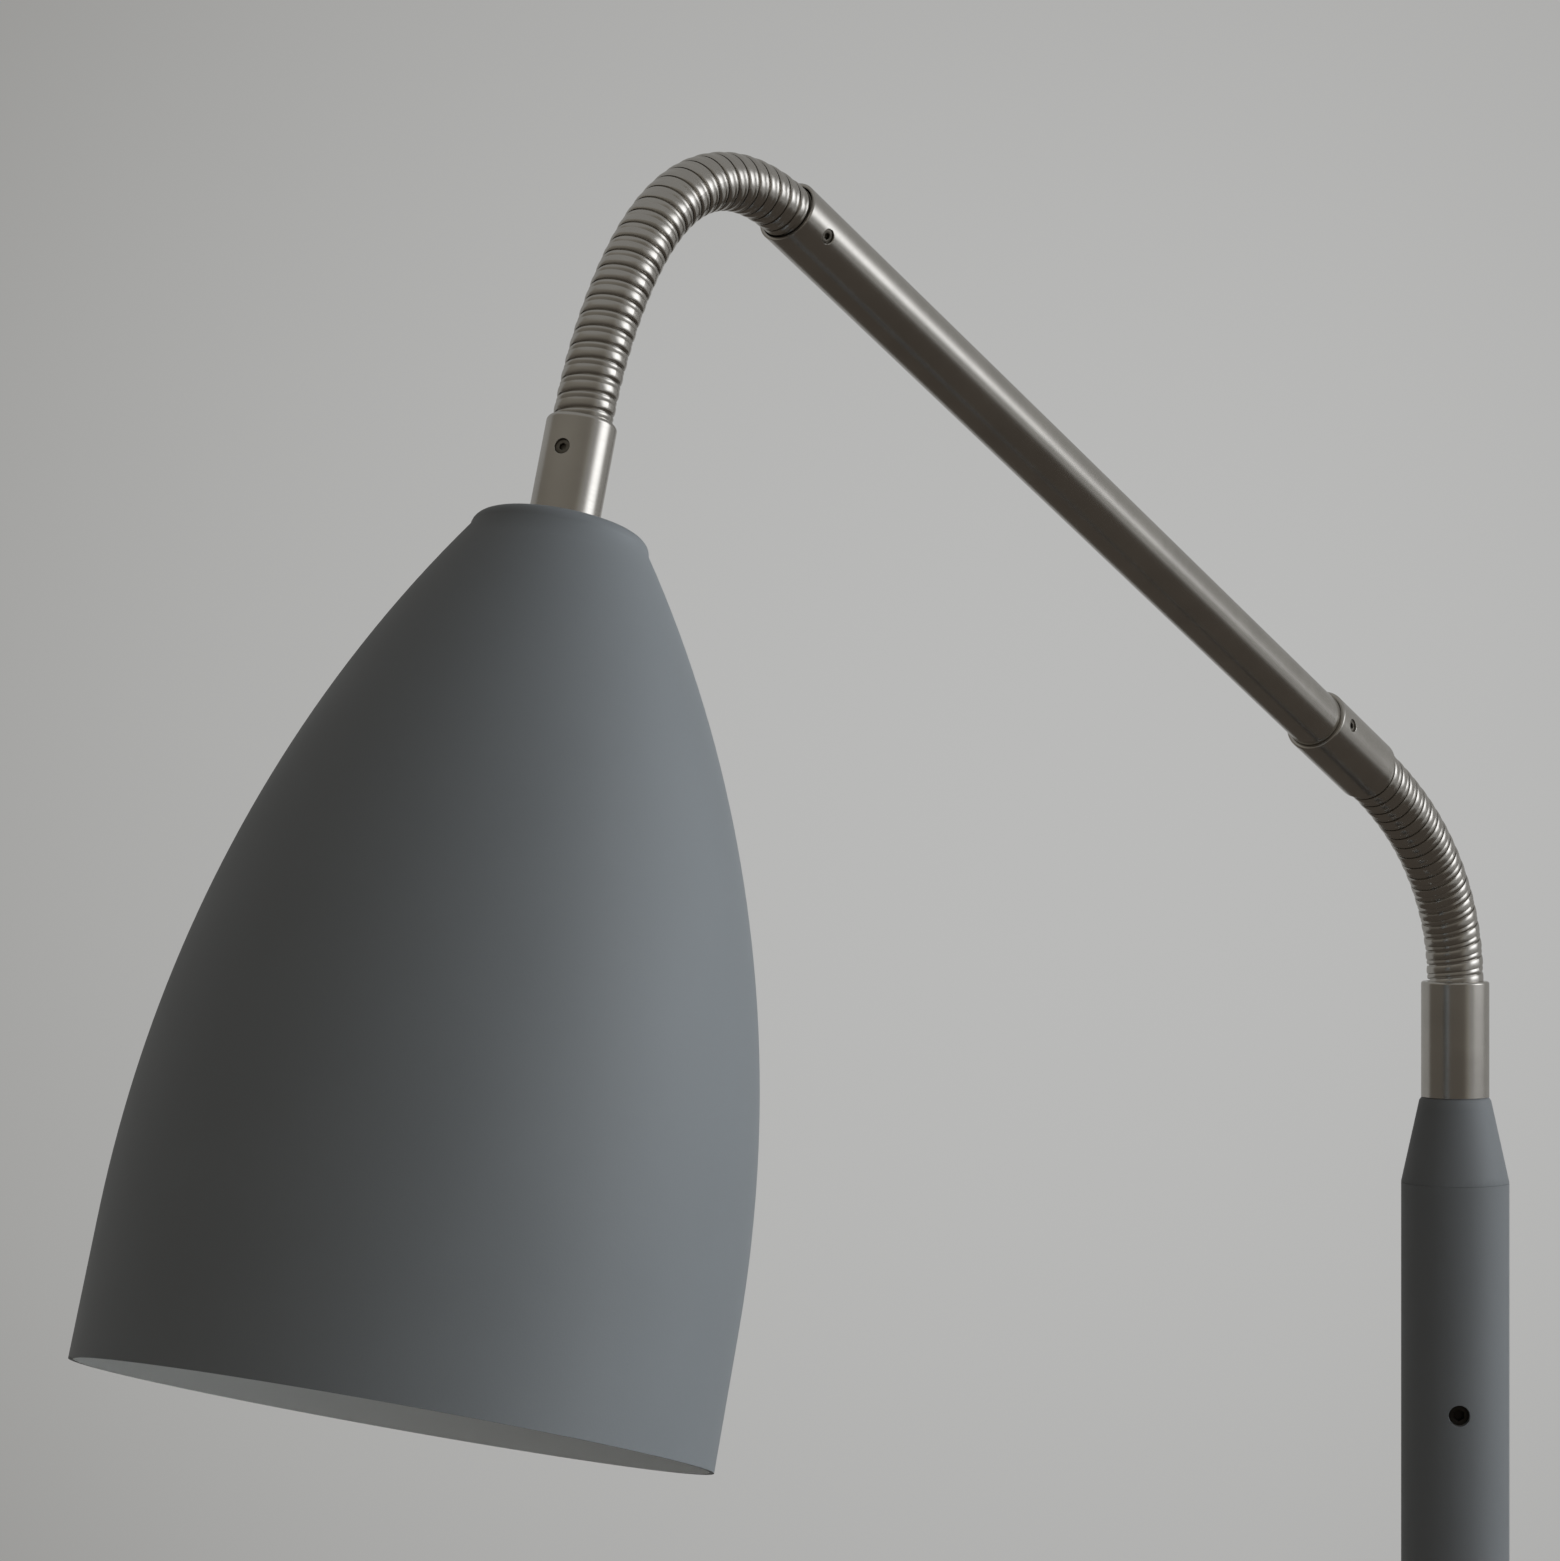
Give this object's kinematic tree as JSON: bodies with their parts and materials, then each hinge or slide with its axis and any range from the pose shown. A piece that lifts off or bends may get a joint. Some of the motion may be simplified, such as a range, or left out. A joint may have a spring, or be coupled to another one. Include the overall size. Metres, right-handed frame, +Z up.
{
  "type": "gooseneck reading floor lamp",
  "caption": "Floor lamp with a round weighted foot, a straight post, and an arm between two flexible necks that holds a deep spun shade.",
  "frame": {"origin": "on the floor, at the centre of the foot's underside, on the axis of the post", "axes": "+Z up along the post; the lamp's arm and shade reach forward along -Y; X is across the lamp, and both necks rest in the plane X = 0"},
  "size_m": [0.28, 0.6572, 1.2666],
  "materials": {
    "grey_paint": "fine matte powder coat, mid grey",
    "shade_paint": "fine matte powder coat on spun aluminium, mid grey outside",
    "satin_nickel": "warm satin nickel plate, brushed",
    "neck_nickel": "satin nickel plate on wound strip",
    "dark_screw": "black oxide",
    "plain_steel": "plain machined steel",
    "zinc_steel": "bright zinc plate",
    "cast_iron": "as cast, primed",
    "pad_rubber": "ribless black rubber",
    "bush_plastic": "moulded black",
    "holder_plastic": "moulded black",
    "holder_core": "glazed, off-white",
    "brass": "plain",
    "bulb_cap_metal": "bright",
    "bulb_plastic": "white, satin",
    "bulb_opal": "opal"
  },
  "bodies": {
    "stand": {"foot_pad": "pad_rubber", "foot_weight": "cast_iron", "foot_cover": "grey_paint", "cable_bush": "bush_plastic", "foot_nut": "zinc_steel", "foot_washer": "zinc_steel", "foot_stud": "zinc_steel", "post_base_plug": "plain_steel", "post_tube": "grey_paint", "post_top_insert": "plain_steel", "post_top_cone": "grey_paint", "post_set_screw": "dark_screw", "neck_stud": "zinc_steel", "lower_collar": "satin_nickel", "lower_neck_base_plug": "neck_nickel"},
    "lower_neck_01": {"lower_neck_01": "neck_nickel"},
    "lower_neck_02": {"lower_neck_02": "neck_nickel"},
    "lower_neck_03": {"lower_neck_03": "neck_nickel"},
    "lower_neck_04": {"lower_neck_04": "neck_nickel"},
    "lower_neck_05": {"lower_neck_05": "neck_nickel"},
    "lower_neck_06": {"lower_neck_06": "neck_nickel"},
    "lower_neck_07": {"lower_neck_07": "neck_nickel"},
    "lower_neck_08": {"lower_neck_08": "neck_nickel"},
    "arm": {"lower_neck_arm_plug": "neck_nickel", "arm_lower_sleeve": "satin_nickel", "sleeve_grub_screw": "satin_nickel", "arm_tube": "satin_nickel", "arm_grub_screw": "satin_nickel", "upper_neck_arm_plug": "neck_nickel"},
    "upper_neck_01": {"upper_neck_01": "neck_nickel"},
    "upper_neck_02": {"upper_neck_02": "neck_nickel"},
    "upper_neck_03": {"upper_neck_03": "neck_nickel"},
    "upper_neck_04": {"upper_neck_04": "neck_nickel"},
    "upper_neck_05": {"upper_neck_05": "neck_nickel"},
    "upper_neck_06": {"upper_neck_06": "neck_nickel"},
    "upper_neck_07": {"upper_neck_07": "neck_nickel"},
    "upper_neck_08": {"upper_neck_08": "neck_nickel"},
    "upper_neck_09": {"upper_neck_09": "neck_nickel"},
    "upper_neck_10": {"upper_neck_10": "neck_nickel"},
    "upper_neck_11": {"upper_neck_11": "neck_nickel"},
    "upper_neck_12": {"upper_neck_12": "neck_nickel"},
    "upper_neck_13": {"upper_neck_13": "neck_nickel"},
    "head": {"upper_neck_shade_plug": "neck_nickel", "shade_collar": "satin_nickel", "shade_collar_grub_screw": "zinc_steel", "shade_nipple": "zinc_steel", "shade_washer": "zinc_steel", "shade_nut": "zinc_steel", "shade": "shade_paint", "lampholder_cap": "holder_plastic", "lampholder_body": "holder_plastic", "lampholder_core": "holder_core", "lampholder_screw_shell": "brass", "lampholder_contact": "brass", "lampholder_terminal_screws": "brass", "bulb_tip": "brass", "bulb_cap": "bulb_cap_metal", "bulb_housing": "bulb_plastic", "bulb_globe": "bulb_opal"}
  },
  "joints": [
    {"name": "lower_neck_bend", "type": "hinge", "parent": "stand", "child": "lower_neck_01", "pos_m": [0, 0, 1.06488], "axis": [1, 0, 0], "range_deg": [-10, 4]},
    {"name": "lower_neck_bend_02", "type": "hinge", "parent": "lower_neck_01", "child": "lower_neck_02", "pos_m": [0, -0.00187, 1.07425], "axis": [1, 0, 0], "range_deg": [-10, 4]},
    {"name": "lower_neck_sway", "type": "hinge", "parent": "lower_neck_02", "child": "lower_neck_03", "pos_m": [0, -0.00539, 1.08315], "axis": [0, -0.8977, -0.4407], "range_deg": [-10, 10]},
    {"name": "lower_neck_bend_03", "type": "hinge", "parent": "lower_neck_03", "child": "lower_neck_04", "pos_m": [0, -0.01027, 1.09136], "axis": [1, 0, 0], "range_deg": [-10, 4]},
    {"name": "lower_neck_bend_04", "type": "hinge", "parent": "lower_neck_04", "child": "lower_neck_05", "pos_m": [0, -0.01627, 1.09881], "axis": [1, 0, 0], "range_deg": [-10, 4]},
    {"name": "lower_neck_sway_02", "type": "hinge", "parent": "lower_neck_05", "child": "lower_neck_06", "pos_m": [0, -0.02314, 1.10546], "axis": [0, -0.6569, -0.754], "range_deg": [-10, 10]},
    {"name": "lower_neck_bend_05", "type": "hinge", "parent": "lower_neck_06", "child": "lower_neck_07", "pos_m": [0, -0.03067, 1.11135], "axis": [1, 0, 0], "range_deg": [-10, 4]},
    {"name": "lower_neck_bend_06", "type": "hinge", "parent": "lower_neck_07", "child": "lower_neck_08", "pos_m": [0, -0.03868, 1.11657], "axis": [1, 0, 0], "range_deg": [-10, 4]},
    {"name": "lower_neck_sway_03", "type": "hinge", "parent": "lower_neck_08", "child": "arm", "pos_m": [0, -0.04702, 1.12124], "axis": [0, -0.4666, -0.8845], "range_deg": [-10, 10]},
    {"name": "upper_neck_sway", "type": "hinge", "parent": "arm", "child": "upper_neck_01", "pos_m": [0, -0.31809, 1.2558], "axis": [0, -0.3892, -0.9212], "range_deg": [-10, 10]},
    {"name": "upper_neck_bend", "type": "hinge", "parent": "upper_neck_01", "child": "upper_neck_02", "pos_m": [0, -0.32537, 1.25836], "axis": [1, 0, 0], "range_deg": [-9.5, 3.2]},
    {"name": "upper_neck_bend_02", "type": "hinge", "parent": "upper_neck_02", "child": "upper_neck_03", "pos_m": [0, -0.33295, 1.25975], "axis": [1, 0, 0], "range_deg": [-9.5, 3.2]},
    {"name": "upper_neck_bend_03", "type": "hinge", "parent": "upper_neck_03", "child": "upper_neck_04", "pos_m": [0, -0.34067, 1.25964], "axis": [1, 0, 0], "range_deg": [-9.5, 3.2]},
    {"name": "upper_neck_bend_04", "type": "hinge", "parent": "upper_neck_04", "child": "upper_neck_05", "pos_m": [0, -0.34818, 1.25791], "axis": [1, 0, 0], "range_deg": [-9.5, 3.2]},
    {"name": "upper_neck_bend_05", "type": "hinge", "parent": "upper_neck_05", "child": "upper_neck_06", "pos_m": [0, -0.35515, 1.25461], "axis": [1, 0, 0], "range_deg": [-9.5, 3.2]},
    {"name": "upper_neck_bend_06", "type": "hinge", "parent": "upper_neck_06", "child": "upper_neck_07", "pos_m": [0, -0.36138, 1.25006], "axis": [1, 0, 0], "range_deg": [-9.5, 3.2]},
    {"name": "upper_neck_sway_02", "type": "hinge", "parent": "upper_neck_07", "child": "upper_neck_08", "pos_m": [0, -0.36682, 1.2446], "axis": [0, 0.7493, -0.6623], "range_deg": [-10, 10]},
    {"name": "upper_neck_bend_07", "type": "hinge", "parent": "upper_neck_08", "child": "upper_neck_09", "pos_m": [0, -0.37157, 1.23853], "axis": [1, 0, 0], "range_deg": [-9.5, 3.2]},
    {"name": "upper_neck_bend_08", "type": "hinge", "parent": "upper_neck_09", "child": "upper_neck_10", "pos_m": [0, -0.37576, 1.23205], "axis": [1, 0, 0], "range_deg": [-9.5, 3.2]},
    {"name": "upper_neck_sway_03", "type": "hinge", "parent": "upper_neck_10", "child": "upper_neck_11", "pos_m": [0, -0.37947, 1.22529], "axis": [0, 0.8911, -0.4538], "range_deg": [-10, 10]},
    {"name": "upper_neck_bend_09", "type": "hinge", "parent": "upper_neck_11", "child": "upper_neck_12", "pos_m": [0, -0.38276, 1.21831], "axis": [1, 0, 0], "range_deg": [-9.5, 3.2]},
    {"name": "upper_neck_bend_10", "type": "hinge", "parent": "upper_neck_12", "child": "upper_neck_13", "pos_m": [0, -0.38564, 1.21116], "axis": [1, 0, 0], "range_deg": [-9.5, 3.2]},
    {"name": "upper_neck_sway_04", "type": "hinge", "parent": "upper_neck_13", "child": "head", "pos_m": [0, -0.38812, 1.20385], "axis": [0, 0.9554, -0.2953], "range_deg": [-10, 10]}
  ],
  "couplings": [
    {"joint": "lower_neck_bend_02", "follows": "lower_neck_bend", "ratio": 1},
    {"joint": "lower_neck_bend_03", "follows": "lower_neck_bend", "ratio": 1},
    {"joint": "lower_neck_bend_04", "follows": "lower_neck_bend", "ratio": 1},
    {"joint": "lower_neck_sway_02", "follows": "lower_neck_sway", "ratio": 1},
    {"joint": "lower_neck_bend_05", "follows": "lower_neck_bend", "ratio": 1},
    {"joint": "lower_neck_bend_06", "follows": "lower_neck_bend", "ratio": 1},
    {"joint": "lower_neck_sway_03", "follows": "lower_neck_sway", "ratio": 1},
    {"joint": "upper_neck_bend_02", "follows": "upper_neck_bend", "ratio": 1},
    {"joint": "upper_neck_bend_03", "follows": "upper_neck_bend", "ratio": 1},
    {"joint": "upper_neck_bend_04", "follows": "upper_neck_bend", "ratio": 1},
    {"joint": "upper_neck_bend_05", "follows": "upper_neck_bend", "ratio": 1},
    {"joint": "upper_neck_bend_06", "follows": "upper_neck_bend", "ratio": 1},
    {"joint": "upper_neck_sway_02", "follows": "upper_neck_sway", "ratio": 1},
    {"joint": "upper_neck_bend_07", "follows": "upper_neck_bend", "ratio": 1},
    {"joint": "upper_neck_bend_08", "follows": "upper_neck_bend", "ratio": 1},
    {"joint": "upper_neck_sway_03", "follows": "upper_neck_sway", "ratio": 1},
    {"joint": "upper_neck_bend_09", "follows": "upper_neck_bend", "ratio": 1},
    {"joint": "upper_neck_bend_10", "follows": "upper_neck_bend", "ratio": 1},
    {"joint": "upper_neck_sway_04", "follows": "upper_neck_sway", "ratio": 1}
  ]
}
